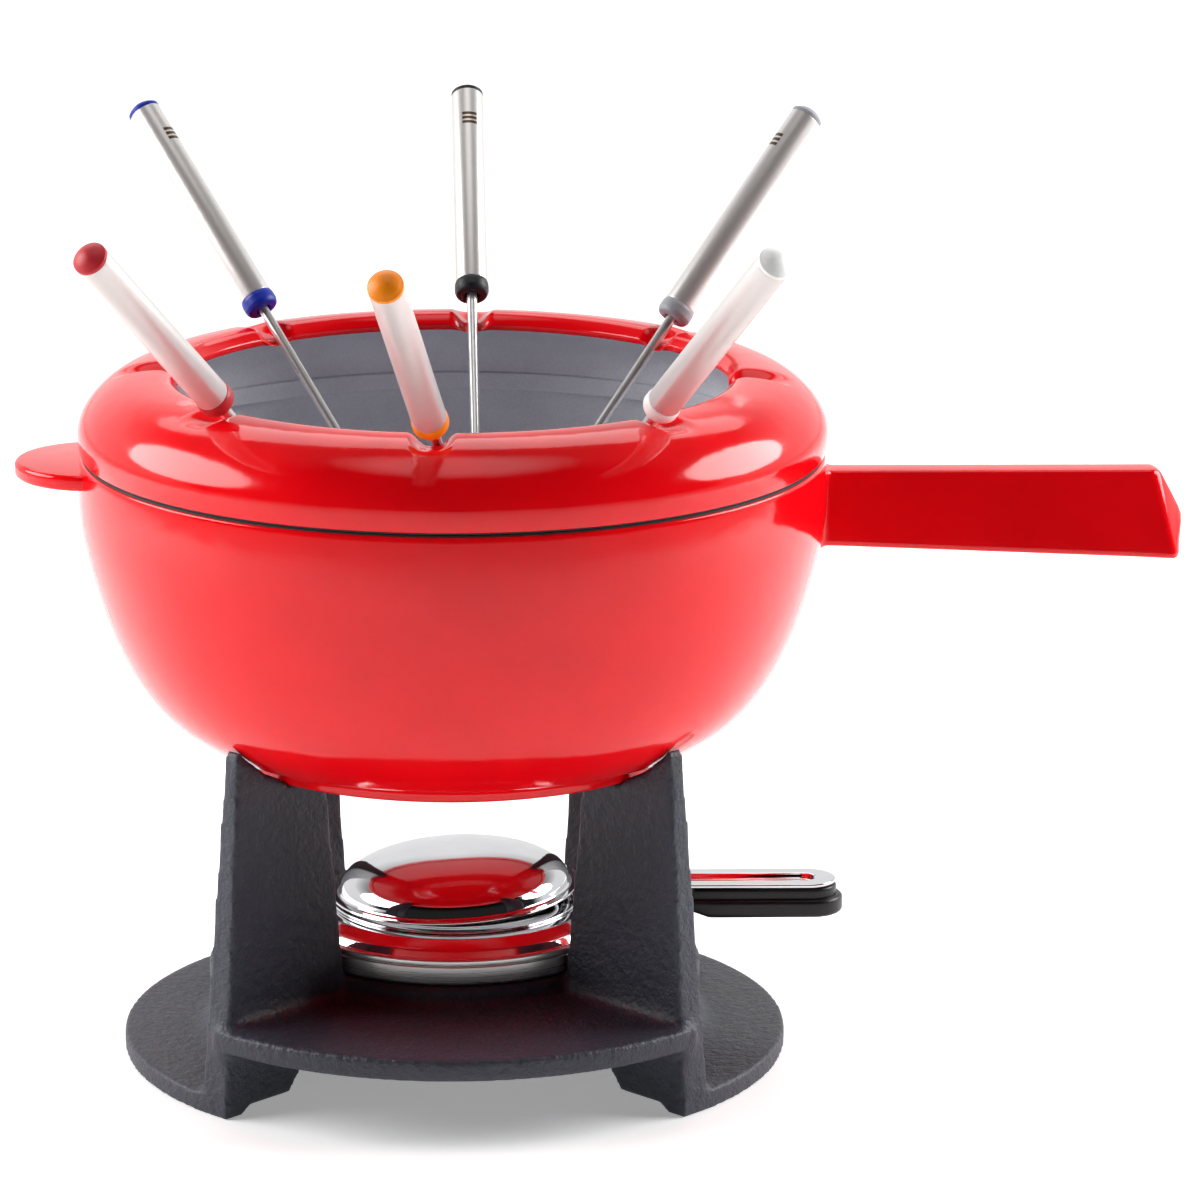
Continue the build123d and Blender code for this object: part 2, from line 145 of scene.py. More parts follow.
# forks: name, notch number, turn from the notch, lean from vertical, heading, slide out, mark turned
FORKS = [
    ("blue", 3, -1.4, 45.4, 133.0, 0.4, 0.2),
    ("black", 2, -0.1, 46.4, 91.2, 0.5, 0.1),
    ("grey", 1, 0.8, 43.1, 36.7, -1.1, -0.2),
    ("red", 5, 0.8, 48.9, 236.4, -0.4, 0.0),
    ("orange", 6, 0.4, 49.2, 258.4, -0.6, 0.0),
    ("white", 7, -0.3, 48.3, 300.7, -1.3, 0.0),
]
COLLAR_STANDOFF = 5.5
COLLAR_R = 5.3
COLLAR_H = 5.0
HANDLE_R = 5.0
HANDLE_BORE_R = 4.3
TUBE_END = 77.4
TUBE_EDGE = 0.25
CAP_TOP = 80.7
CAP_BRIM_H = 1.1
PLUG_LENGTH = 7.0
PLUG_GAP = 0.02
PLUG_R = HANDLE_BORE_R - PLUG_GAP
ROD_R = 1.6
ROD_TIP_R = 1.3
ROD_LENGTH = 116.0
ROD_PLUG = 10.0
HEAD_LENGTH = 9.0
HEAD_OVERLAP = 0.5
TINE_LENGTH = 21.0
TINE_GAP = 2.0
TINE_W = 1.4
TINE_T = 1.6
TINE_EDGE = 0.35
MARK_START = 63.5
MARK_PITCH = 1.7
MARK_BARS = 3.0
MARK_BAR_SHARE = 0.62
MARK_HALF_W = 2.3

# burner
CUP_R = 50.0
CUP_BOTTOM_Z = 32.4
CUP_TOP_Z = 40.4
SHEET = 1.0
CUP = [
    (0, CUP_BOTTOM_Z),
    (CUP_R, CUP_BOTTOM_Z, 1.2),
    (CUP_R, CUP_TOP_Z - 2.3, 0.2),
    (CUP_R - 0.4, CUP_TOP_Z - 1.95, 0.2),
    (CUP_R, CUP_TOP_Z - 1.6, 0.3),
    (CUP_R, CUP_TOP_Z, 0.6),
    (CUP_R - SHEET, CUP_TOP_Z, 0.3),
    (CUP_R - SHEET, CUP_BOTTOM_Z + SHEET),
    (0, CUP_BOTTOM_Z + SHEET),
]
WICK = [(0, 33.4), (46.0, 33.4, 1.0), (46.0, 37.9, 1.5), (0, 37.9)]
GAUZE_PITCH = 2.4
GAUZE_WIRE_R = 0.16
GAUZE_R = 46.6
GAUZE_SPAN = 45.6
GAUZE_Z = 38.4
GAUZE_LIFT = 0.15
GAUZE_HOOP = [(46.0, 38.0, 0.2), (47.0, 38.0, 0.2), (47.0, 38.8, 0.2), (46.0, 38.8, 0.2)]
SHOULDER_R = 48.6
NECK_R = 38.0
NECK_Z = 44.4
MOUTH_R = 31.0
SHOULDER = [
    (CUP_R - SHEET - 0.05, CUP_TOP_Z, 0.2),
    (SHOULDER_R - 0.3, CUP_TOP_Z + 0.1, 0.4),
    (46.4, 42.6, 3.0),
    (41.5, NECK_Z - 0.1, 3.0),
    (NECK_R - 1.0, NECK_Z, 1.0),
    (MOUTH_R, NECK_Z, 0.3),
    (MOUTH_R, NECK_Z - SHEET, 0.3),
    (NECK_R - 1.2, NECK_Z - SHEET, 1.0),
    (41.2, NECK_Z - 1.1, 2.0),
    (45.6, 41.8, 2.0),
    (SHOULDER_R - 1.0, CUP_TOP_Z - 1.0, 0.3),
    (CUP_R - SHEET - 0.05, CUP_TOP_Z - 1.0, 0.2),
]
TANG_T = 0.8
TANG_RING = [
    (MOUTH_R, NECK_Z + 0.02, 0.2),
    (37.6, NECK_Z + 0.02, 0.35),
    (37.6, NECK_Z + TANG_T, 0.35),
    (MOUTH_R, NECK_Z + TANG_T, 0.2),
]
TANG_ROOT_X = 33.0
TANG_BEND_X = 39.5
TANG_JOGGLE_X = 43.0
TANG_END_X = 108.0
TANG_BOTTOM_Z = 43.5
TANG_HALF_W = 7.0
TANG_FLARE_W = 3.5
TANG_FLARE_XS = (34.0, 46.0)
TANG_EDGE = 0.3
GRIP_START_X = 68.0
GRIP_END_X = 117.1
GRIP_HALF_W = 9.2
GRIP_BOTTOM_Z = 40.0
GRIP_TOP_Z = 45.5
GRIP_EDGE = 1.3
GRIP_NOSE_L = 8.5
GRIP_NOSE_LIFT = 3.2
PAD_START_X = 72.0
PAD_END_X = 115.2
PAD_HALF_W = 7.6
PAD_TOP_Z = 48.7
PAD_EDGE = 0.9
PAD_SINK = 0.8
RIVET_XS = (80.0, 100.0)
RIVET_R = 1.6
RIVET_HEAD_R = 2.8
RIVET = [
    (0, GRIP_BOTTOM_Z),
    (RIVET_HEAD_R - 0.2, GRIP_BOTTOM_Z, 0.5),
    (RIVET_HEAD_R, GRIP_BOTTOM_Z + 0.5),
    (RIVET_R, GRIP_BOTTOM_Z + 1.0),
    (RIVET_R, GRIP_TOP_Z - 0.4),
    (0, GRIP_TOP_Z - 0.4),
]

# burner lid
LID_R = 37.3
LID_DOME_R = 34.6
LID_DOME_H = 11.6
DOME_POWER = 2.35
DOME_SHARE = 0.93
LID_T = 0.8
LID_Z = 48.1
LID_TILT = math.radians(2.7)
STRIP_START_X = LID_DOME_R + 1.4
STRIP_END_X = 114.9
STRIP_HALF_W = 8.5
STRIP_TOP_Z = 50.3
STRIP_T = 1.1
STRIP_EDGE = 0.35
STRIP_RISE_L = 9.0
STRIP_FLARE_L = 10.0
STRIP_RINGS = 26
STRIP_EDGE_RINGS = 4
GROOVE_START_X = 50.0
GROOVE_END_X = 108.8
GROOVE_HALF_W = 3.6
GROOVE_DEPTH = 1.5

# ---------------------------------------------------------------- colours and studio, in metres and radians
ENAMEL_RED = (0.83, 0.002, 0.006)
ENAMEL_SHADE = (0.77, 0.002, 0.006)
LINING_LIGHT = (0.70, 0.715, 0.77)
LINING_DARK = (0.56, 0.57, 0.61)
CAST_LIGHT = (0.020, 0.024, 0.042)
CAST_DARK = (0.009, 0.011, 0.021)
FELT_LIGHT = (0.78, 0.75, 0.68)
FELT_DARK = (0.45, 0.42, 0.36)
ETCH_BROWN = (0.10, 0.055, 0.03, 1.0)
FLOOR_WHITE = (0.93, 0.93, 0.93, 1.0)
WHITE = (1.0, 1.0, 1.0, 1.0)
CAP_COLOURS = {
    "blue": (0.004, 0.022, 0.36),
    "black": (0.012, 0.012, 0.015),
    "grey": (0.34, 0.35, 0.38),
    "red": (0.52, 0.022, 0.03),
    "orange": (1.0, 0.27, 0.003),
    "white": (0.94, 0.94, 0.93),
}

FLOOR_REACH = 12.0
FLOOR_GLOW = 0.3
# the sky: dim in front, bright low down behind, dim higher up and bright again straight above
FRONT_DIM = 0.02
FRONT_EDGE = (-0.12, 0.12)
HIGH_DIM = 0.15
HIGH_EDGE = (0.35, 0.62)
TOP_GLOW = 1.8
TOP_EDGE = (0.93, 0.985)
# name, place, aimed at, size, power
SOFTBOXES = [
    ("softbox_left", (-1.17, 0.05, 0.72), (0, 0, 0.14), (1.2, 0.8), 19.0),
    ("softbox_right", (1.16, 0.2, 0.69), (0, 0, 0.14), (1.0, 0.75), 18.0),
    ("softbox_rear", (0.0, 2.3, 2.2), (0, 2.3, 0), (3.4, 2.2), 38.0),
]
CAMERA_PLACE = Vector((0.0001, -1.5891, 0.5455))
CAMERA_SENSOR = 36.0
CAMERA_LENS = 165.4
CAMERA_YAW = 0.02731
CAMERA_PITCH = 0.25171
CAMERA_ROLL = 0.00366


# ---------------------------------------------------------------- node helpers
def new_material(name):
    """An empty node material with a Principled shader. Returns (material, tree, shader)."""
    material = bpy.data.materials.new(name)
    material.use_nodes = True
    tree = material.node_tree
    return material, tree, tree.nodes["Principled BSDF"]


def coords(tree, scale=(1, 1, 1)):
    """The piece's own coordinates in metres, scaled. Each mesh carries them as the attribute "own"."""
    where = tree.nodes.new("ShaderNodeAttribute")
    where.attribute_name = "own"
    mapping = tree.nodes.new("ShaderNodeMapping")
    mapping.inputs["Scale"].default_value = scale
    tree.links.new(where.outputs["Vector"], mapping.inputs["Vector"])
    return mapping.outputs["Vector"]


def noise(tree, vector, scale, detail=2.0, rough=0.5, distortion=0.0):
    """Noise from 0 to 1. scale is in cells per metre of the vector."""
    node = tree.nodes.new("ShaderNodeTexNoise")
    node.inputs["Scale"].default_value = scale
    node.inputs["Detail"].default_value = detail
    node.inputs["Roughness"].default_value = rough
    node.inputs["Distortion"].default_value = distortion
    tree.links.new(vector, node.inputs["Vector"])
    return node.outputs["Fac"]


def remap(tree, value, low, high, to_low, to_high):
    """Takes low..high to to_low..to_high and holds the ends."""
    node = tree.nodes.new("ShaderNodeMapRange")
    for name, number in zip(("From Min", "From Max", "To Min", "To Max"), (low, high, to_low, to_high)):
        node.inputs[name].default_value = number
    tree.links.new(value, node.inputs["Value"])
    return node.outputs["Result"]


def ramp(tree, value, *stops):
    """Colour ramp through (position, colour) stops."""
    node = tree.nodes.new("ShaderNodeValToRGB")
    elements = node.color_ramp.elements
    while len(elements) < len(stops):
        elements.new(0.5)
    for element, (position, colour) in zip(elements, stops):
        element.position = position
        element.color = (*colour, 1.0)
    tree.links.new(value, node.inputs["Fac"])
    return node.outputs["Color"]


def math_node(tree, operation, a, b=None):
    """One math node. a and b are sockets or numbers."""
    node = tree.nodes.new("ShaderNodeMath")
    node.operation = operation
    for socket, value in zip(node.inputs, (a, b)):
        if value is None:
            continue
        if isinstance(value, (int, float)):
            socket.default_value = value
        else:
            tree.links.new(value, socket)
    return node.outputs["Value"]


def product(tree, first, *others):
    result = first
    for other in others:
        result = math_node(tree, "MULTIPLY", result, other)
    return result


def average(tree, a, b):
    return math_node(tree, "ADD", product(tree, a, 0.5), product(tree, b, 0.5))


def bump(tree, shader, *layers):
    """Chain of bump nodes. Each layer is (height, strength, distance in metres)."""
    normal = None
    for height, strength, distance in layers:
        node = tree.nodes.new("ShaderNodeBump")
        node.inputs["Strength"].default_value = strength
        node.inputs["Distance"].default_value = distance
        tree.links.new(height, node.inputs["Height"])
        if normal is not None:
            tree.links.new(normal, node.inputs["Normal"])
        normal = node.outputs["Normal"]
    tree.links.new(normal, shader.inputs["Normal"])


# ---------------------------------------------------------------- materials
def enamel(name, colour, shade, roughness):
    """Fired enamel: glossy, with faint cloudiness and the slow waviness of a fired surface."""
    material, tree, shader = new_material(name)
    place = coords(tree)
    cloud = noise(tree, place, 38.0, 3.0, 0.55)
    speck = noise(tree, place, 900.0, 2.0, 0.6)
    peel = noise(tree, place, 150.0, 1.0, 0.4)
    tree.links.new(ramp(tree, cloud, (0.35, shade), (0.65, colour)), shader.inputs["Base Color"])
    rough = remap(tree, cloud, 0.3, 0.7, roughness * 0.8, roughness * 1.3)
    tree.links.new(rough, shader.inputs["Roughness"])
    shader.inputs["Specular IOR Level"].default_value = 0.4
    bump(tree, shader, (peel, 0.2, 0.0004), (speck, 0.04, 0.0001))
    return material


def lining_enamel():
    """Matt enamel of the inside: fine speckle and a sandy tooth."""
    material, tree, shader = new_material("lining_enamel")
    place = coords(tree)
    speck = noise(tree, place, 1500.0, 3.0, 0.7)
    cloud = noise(tree, place, 30.0, 3.0, 0.6)
    colour = ramp(tree, average(tree, speck, cloud), (0.36, LINING_DARK), (0.62, LINING_LIGHT))
    tree.links.new(colour, shader.inputs["Base Color"])
    tree.links.new(remap(tree, speck, 0.3, 0.7, 0.36, 0.5), shader.inputs["Roughness"])
    bump(tree, shader, (speck, 0.35, 0.0002))
    return material


def cast_coating():
    """Matt black coating on sand-cast iron: grains, shallow pits and drifting tone."""
    material, tree, shader = new_material("cast_coating")
    place = coords(tree)
    grain = noise(tree, place, 900.0, 3.0, 0.65)
    pits = noise(tree, place, 320.0, 3.0, 0.6)
    cloud = noise(tree, place, 25.0, 3.0, 0.6)
    colour = ramp(tree, average(tree, grain, cloud), (0.38, CAST_DARK), (0.64, CAST_LIGHT))
    tree.links.new(colour, shader.inputs["Base Color"])
    tree.links.new(remap(tree, grain, 0.3, 0.7, 0.42, 0.62), shader.inputs["Roughness"])
    shader.inputs["Specular IOR Level"].default_value = 0.6
    bump(tree, shader, (pits, 0.9, 0.0008), (grain, 0.7, 0.00035))
    return material


def steel(name, colour, roughness, lines=None, metallic=1.0):
    """Bright steel. lines is the scale per axis of fine brush marks; without it the steel is polished."""
    material, tree, shader = new_material(name)
    shader.inputs["Metallic"].default_value = metallic
    if lines:
        tone = noise(tree, coords(tree, lines), 1.0, 3.0, 0.7)
        rough = remap(tree, tone, 0.0, 1.0, roughness * 0.85, roughness * 1.35)
        relief = (tone, 0.12, 0.00012)
    else:
        place = coords(tree)
        tone = noise(tree, place, 60.0, 3.0, 0.6)
        rough = remap(tree, tone, 0.3, 0.7, roughness * 0.75, roughness * 1.25)
        relief = (noise(tree, place, 500.0, 2.0, 0.6), 0.02, 0.0001)
    dark = tuple(0.9 * c for c in colour)
    tree.links.new(ramp(tree, tone, (0.3, dark), (0.7, colour)), shader.inputs["Base Color"])
    tree.links.new(rough, shader.inputs["Roughness"])
    bump(tree, shader, relief)
    return material


def handle_steel():
    """Satin tube of a fork handle: fine turned lines round it and three small etched bars near its end."""
    material = steel("handle_steel", (0.72, 0.69, 0.67), 0.30, lines=(20.0, 20.0, 9000.0), metallic=0.6)
    tree = material.node_tree
    base = tree.nodes["Principled BSDF"].inputs["Base Color"]
    split = tree.nodes.new("ShaderNodeSeparateXYZ")
    tree.links.new(coords(tree), split.inputs["Vector"])
    x, y, z = split.outputs
    along = product(tree, math_node(tree, "SUBTRACT", z, MARK_START * MM), 1.0 / (MARK_PITCH * MM))
    mask = product(
        tree,
        math_node(tree, "LESS_THAN", math_node(tree, "ABSOLUTE", x), MARK_HALF_W * MM),
        math_node(tree, "GREATER_THAN", y, 0.0),
        math_node(tree, "LESS_THAN", math_node(tree, "FRACT", along), MARK_BAR_SHARE),
        math_node(tree, "GREATER_THAN", along, 0.0),
        math_node(tree, "LESS_THAN", along, MARK_BARS),
    )
    mix = tree.nodes.new("ShaderNodeMix")
    mix.data_type = "RGBA"
    tree.links.new(mask, mix.inputs["Factor"])
    tree.links.new(base.links[0].from_socket, mix.inputs["A"])
    mix.inputs["B"].default_value = ETCH_BROWN
    tree.links.new(mix.outputs["Result"], base)
    return material


def plastic(name, colour, roughness, grain=0.2):
    """Moulded plastic with a slight colour drift and a fine moulded grain."""
    material, tree, shader = new_material(name)
    place = coords(tree)
    cloud = noise(tree, place, 220.0, 2.0, 0.5)
    shade = tuple(0.86 * c for c in colour)
    tree.links.new(ramp(tree, cloud, (0.35, shade), (0.65, colour)), shader.inputs["Base Color"])
    rough = remap(tree, cloud, 0.3, 0.7, roughness * 0.9, roughness * 1.1)
    tree.links.new(rough, shader.inputs["Roughness"])
    shader.inputs["Specular IOR Level"].default_value = 0.35
    bump(tree, shader, (noise(tree, place, 2500.0, 2.0, 0.6), grain, 0.0001))
    return material


def felt():
    """Mineral felt of the wick pad."""
    material, tree, shader = new_material("felt")
    fibre = noise(tree, coords(tree), 700.0, 4.0, 0.8, 1.5)
    colour = ramp(tree, fibre, (0.3, FELT_DARK), (0.7, FELT_LIGHT))
    tree.links.new(colour, shader.inputs["Base Color"])
    shader.inputs["Roughness"].default_value = 0.95
    shader.inputs["Sheen Weight"].default_value = 0.3
    bump(tree, shader, (fibre, 0.9, 0.0008))
    return material


# ---------------------------------------------------------------- mesh helpers
def smoothstep(low, high, value):
    t = np.clip((value - low) / (high - low), 0, 1)
    return t * t * (3 - 2 * t)


def spline(points, count):
    """count points on the natural cubic spline through (r, z) points, by chord length."""
    p = np.array(points, float)
    t = np.concatenate([[0], np.cumsum(np.linalg.norm(np.diff(p, axis=0), axis=1))])
    h = np.diff(t)
    n = len(p)
    a = np.eye(n)
    b = np.zeros((n, 2))
    for i in range(1, n - 1):
        a[i, i - 1 : i + 2] = h[i - 1], 2 * (h[i - 1] + h[i]), h[i]
        b[i] = 6 * ((p[i + 1] - p[i]) / h[i] - (p[i] - p[i - 1]) / h[i - 1])
    m = np.linalg.solve(a, b)
    s = np.linspace(0, t[-1], count)
    k = np.clip(np.searchsorted(t, s, side="right") - 1, 0, n - 2)
    u, v = (t[k + 1] - s)[:, None], (s - t[k])[:, None]
    hk = h[k][:, None]
    out = m[k] * u**3 / (6 * hk) + m[k + 1] * v**3 / (6 * hk)
    out += (p[k] / hk - m[k] * hk / 6) * u + (p[k + 1] / hk - m[k + 1] * hk / 6) * v
    return [tuple(q) for q in out]


def rounded(corners, closed=False, steps=5):
    """Polyline through (x, z, radius) corners with each corner turned into an arc."""
    out = []
    n = len(corners)
    for i, corner in enumerate(corners):
        here = np.array(corner[:2], float)
        radius = corner[2] if len(corner) > 2 else 0.0
        if radius <= 0 or (not closed and i in (0, n - 1)):
            out.append(tuple(here))
            continue
        before = np.array(corners[i - 1][:2], float) - here
        after = np.array(corners[(i + 1) % n][:2], float) - here
        d0, d1 = before / np.linalg.norm(before), after / np.linalg.norm(after)
        half = math.acos(np.clip(d0 @ d1, -1, 1)) / 2
        reach = radius / math.tan(half)
        limit = 0.49 * min(np.linalg.norm(before), np.linalg.norm(after))
        if reach > limit:
            reach, radius = limit, limit * math.tan(half)
        middle = here + (d0 + d1) / np.linalg.norm(d0 + d1) * radius / math.sin(half)
        start, end = here + d0 * reach - middle, here + d1 * reach - middle
        a0, a1 = math.atan2(start[1], start[0]), math.atan2(end[1], end[0])
        turn = (a1 - a0 + math.pi) % (2 * math.pi) - math.pi
        for k in range(steps + 1):
            a = a0 + turn * k / steps
            out.append(tuple(middle + radius * np.array([math.cos(a), math.sin(a)])))
    return out


def lathe(profile, segments, closed=True):
    """Turns a (r, z) profile about Z. Points on the axis become poles. Returns (vertices, faces)."""
    verts, rings = [], []
    for r, z in profile:
        if r < 1e-6:
            rings.append([len(verts)] * segments)
            verts.append((0.0, 0.0, z))
            continue
        rings.append(list(range(len(verts), len(verts) + segments)))
        for k in range(segments):
            a = 2 * math.pi * k / segments
            verts.append((r * math.cos(a), r * math.sin(a), z))
    pairs = list(zip(rings, rings[1:]))
    if closed:
        pairs.append((rings[-1], rings[0]))
    faces = []
    for a, b in pairs:
        for k in range(segments):
            n = (k + 1) % segments
            quad = [a[k], a[n], b[n], b[k]]
            face = [v for j, v in enumerate(quad) if v != quad[j - 1]]
            if len(face) > 2:
                faces.append(face)
    return np.array(verts), faces


def loft(sections):
    """Skins closed sections of equal length. Each end is one face."""
    n = len(sections[0])
    verts = np.concatenate([np.array(s, float) for s in sections])
    faces = []
    for i in range(len(sections) - 1):
        for k in range(n):
            m = (k + 1) % n
            faces.append([i * n + k, i * n + m, (i + 1) * n + m, (i + 1) * n + k])
    faces.append(list(range(n))[::-1])
    faces.append([(len(sections) - 1) * n + k for k in range(n)])
    return verts, faces


def inset(outline, distance):
    """Moves a closed counter-clockwise (x, y) outline inwards along its corner normals."""
    p = np.array(outline, float)
    e0 = p - np.roll(p, 1, axis=0)
    e1 = np.roll(p, -1, axis=0) - p
    n0 = np.stack([-e0[:, 1], e0[:, 0]], 1) / np.linalg.norm(e0, axis=1)[:, None]
    n1 = np.stack([-e1[:, 1], e1[:, 0]], 1) / np.linalg.norm(e1, axis=1)[:, None]
    n = n0 + n1
    n /= np.maximum((n * n0).sum(1), 0.5)[:, None]
    return p + n * distance


def slab(outline, z0, z1, edge, steps=4):
    """Plate from an (x, y) outline with rounded rims of radius edge."""
    sections = []
    for k in range(steps + 1):
        a = math.pi / 2 * k / steps
        ring = inset(outline, edge * (1 - math.sin(a)))
        sections.append([(x, y, z0 + edge * (1 - math.cos(a))) for x, y in ring])
    for k in range(steps + 1):
        a = math.pi / 2 * k / steps
        ring = inset(outline, edge * (1 - math.cos(a)))
        sections.append([(x, y, z1 - edge * (1 - math.sin(a))) for x, y in ring])
    return loft(sections)


def stadium(x0, x1, half, count):
    """Outline of a strip from x0 that ends at x1 in a half circle, counter-clockwise."""
    angles = np.linspace(-math.pi / 2, math.pi / 2, count)
    arc = [(x1 - half + half * math.cos(a), half * math.sin(a)) for a in angles]
    return [(x0, half), (x0, -half)] + arc


def merged(*parts):
    """Several (vertices, faces) shells in one mesh."""
    verts, faces, start = [], [], 0
    for v, f in parts:
        verts.append(np.array(v, float))
        faces += [[i + start for i in face] for face in f]
        start += len(v)
    return np.concatenate(verts), faces


def piece(name, shape, material, body, replaces=(), sharp=SHARP_ANGLE, place=None):
    """Makes an object from (vertices in mm, faces), at a place in metres, riding on a body."""
    verts, faces = shape
    mesh = bpy.data.meshes.new(name)
    mesh.from_pydata((np.array(verts) * MM).tolist(), [], faces)
    mesh.validate()
    fix = bmesh.new()
    fix.from_mesh(mesh)
    bmesh.ops.recalc_face_normals(fix, faces=fix.faces)
    fix.to_mesh(mesh)
    fix.free()
    dress(name, mesh, material, body, replaces, sharp, place)


def dress(name, mesh, material, body, replaces=(), sharp=SHARP_ANGLE, place=None):
    """Gives a mesh its own coordinates, place, material and shading, and puts it on its body."""
    co = np.zeros(len(mesh.vertices) * 3, np.float32)
    mesh.vertices.foreach_get("co", co)
    mesh.attributes.new("own", "FLOAT_VECTOR", "POINT").data.foreach_set("vector", co)
    if place is not None:
        mesh.transform(place)
    obj = bpy.data.objects.new(name, mesh)
    scene.collection.objects.link(obj)
    mesh.materials.clear()
    mesh.materials.append(material)
    mesh.polygons.foreach_set("use_smooth", [True] * len(mesh.polygons))
    mesh.set_sharp_from_angle(angle=math.radians(sharp))
    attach(obj, body)
    if replaces:
        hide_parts(*replaces)


# ---------------------------------------------------------------- stand
def neighbour_mean(co, edges, count):
    total = np.zeros_like(co)
    for axis in range(3):
        total[:, axis] = np.bincount(edges[:, 0], co[edges[:, 1], axis], len(co))
        total[:, axis] += np.bincount(edges[:, 1], co[edges[:, 0], axis], len(co))
    return total / count[:, None]


def stand_skin():
    """The CAD stand as one even skin."""
    draft = bpy.data.objects.new("stand_draft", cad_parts["stand"].data.copy())
    scene.collection.objects.link(draft)
    remesh = draft.modifiers.new("skin", "REMESH")
    remesh.mode = "VOXEL"
    remesh.voxel_size = STAND_VOXEL * MM * 1.0
    skin = bpy.data.meshes.new_from_object(draft.evaluated_get(bpy.context.evaluated_depsgraph_get()))
    bpy.data.objects.remove(draft)
    skin.name = "stand_casting"
    return skin


def grow_fillets(skin):
    """Softens the skin, then fills its inside corners. Returns the new vertex places in metres."""
    co = np.zeros(len(skin.vertices) * 3)
    skin.vertices.foreach_get("co", co)
    co = co.reshape(-1, 3)
    edges = np.zeros(len(skin.edges) * 2, int)
    skin.edges.foreach_get("vertices", edges)
    edges = edges.reshape(-1, 2)
    count = np.bincount(edges.ravel(), minlength=len(co)).astype(float)
    for step in range(SOFTEN_STEPS + FILL_STEPS):
        normals = np.zeros(len(co) * 3)
        skin.vertices.foreach_get("normal", normals)
        pull = neighbour_mean(co, edges, count) - co
        if step >= SOFTEN_STEPS:
            outward = (pull * normals.reshape(-1, 3)).sum(1)
            pull = pull * (outward > 0)[:, None]
        co = co + 0.5 * pull
        if step < SOFTEN_STEPS or step % UPDATE_EVERY == UPDATE_EVERY - 1:
            skin.vertices.foreach_set("co", co.ravel())
            skin.update()
    return co


def stand():
    """The casting: the CAD shape as one skin with cast fillets, kept clear of the burner and the table."""
    skin = stand_skin()
    co = grow_fillets(skin)
    radius = np.hypot(co[:, 0], co[:, 1])
    beside_cup = (co[:, 2] > (BURNER_SEAT_Z + 0.1) * MM) & (co[:, 2] < CUP_ZONE_TOP_Z * MM)
    push = np.where(beside_cup, np.maximum(radius, (CUP_R + CUP_CLEARANCE) * MM) / radius, 1.0)
    co[:, 0] *= push
    co[:, 1] *= push
    under_cup = (radius < SEAT_CLEAR_R * MM) & (co[:, 2] > BURNER_SEAT_Z * MM)
    co[under_cup, 2] = np.minimum(co[under_cup, 2], BURNER_SEAT_Z * MM)
    co[:, 2] = np.maximum(co[:, 2], 0.0)
    skin.vertices.foreach_set("co", co.ravel())
    skin.update()
    dress("stand_casting", skin, CAST, "stand", ["stand"], 60.0)


# ---------------------------------------------------------------- pot
def cavity_line(offset):
    """Inside wall from the rim down to the axis, moved into the casting by offset."""
    wall = [(r + offset, z) for r, z in spline(CAVITY, 60)]
    floor_z = FLOOR_Z - offset
    floor = rounded([wall[-1], (CAVITY_FLOOR_R, floor_z, CAVITY_CORNER_R), (0, floor_z)])
    return wall + floor[1:]


def handle_section(x, grow, scale=1.0):
    """Rounded trapezoid at x as (y, z) points; grow makes it larger all round."""
    share = np.clip((x - HANDLE_ROOT_X) / (HANDLE_END_X - HANDLE_ROOT_X), 0, 1)
    bottom = HANDLE_ROOT_BOTTOM_Z + (HANDLE_END_BOTTOM_Z - HANDLE_ROOT_BOTTOM_Z) * share
    low = (HANDLE_BOTTOM_W - HANDLE_TAPER * (bottom - HANDLE_END_BOTTOM_Z)) / 2 + grow
    high = HANDLE_TOP_W / 2 + grow
    edge = HANDLE_EDGE + max(grow, 0)
    corners = [
        (-low, bottom - grow, edge),
        (low, bottom - grow, edge),
        (high, HANDLE_TOP_Z + grow, edge),
        (-high, HANDLE_TOP_Z + grow, edge),
    ]
    middle = np.array([0.0, (bottom + HANDLE_TOP_Z) / 2])
    outline = rounded(corners, closed=True, steps=6)
    return [tuple(middle + (np.array(p) - middle) * scale) for p in outline]


def handle_end_x(y, z):
    """Where the handle's sloped, bulged end face is at this y and height."""
    path = rounded(HANDLE_END, steps=8)
    middle = np.interp(z, [p[1] for p in path][::-1], [p[0] for p in path][::-1])
    bulge = np.interp(z, *zip(*HANDLE_END_BULGE))
    half = (HANDLE_BOTTOM_W - HANDLE_TAPER * (z - HANDLE_END_BOTTOM_Z)) / 2
    return float(middle - bulge * (y / half) ** 2)


def bowl_side(y, z):
    """How far out along +X the bowl's skin is at this y and height."""
    radii, heights = zip(*spline(BOWL, 60)[::-1])
    return math.sqrt(float(np.interp(z, heights, radii)) ** 2 - y * y)


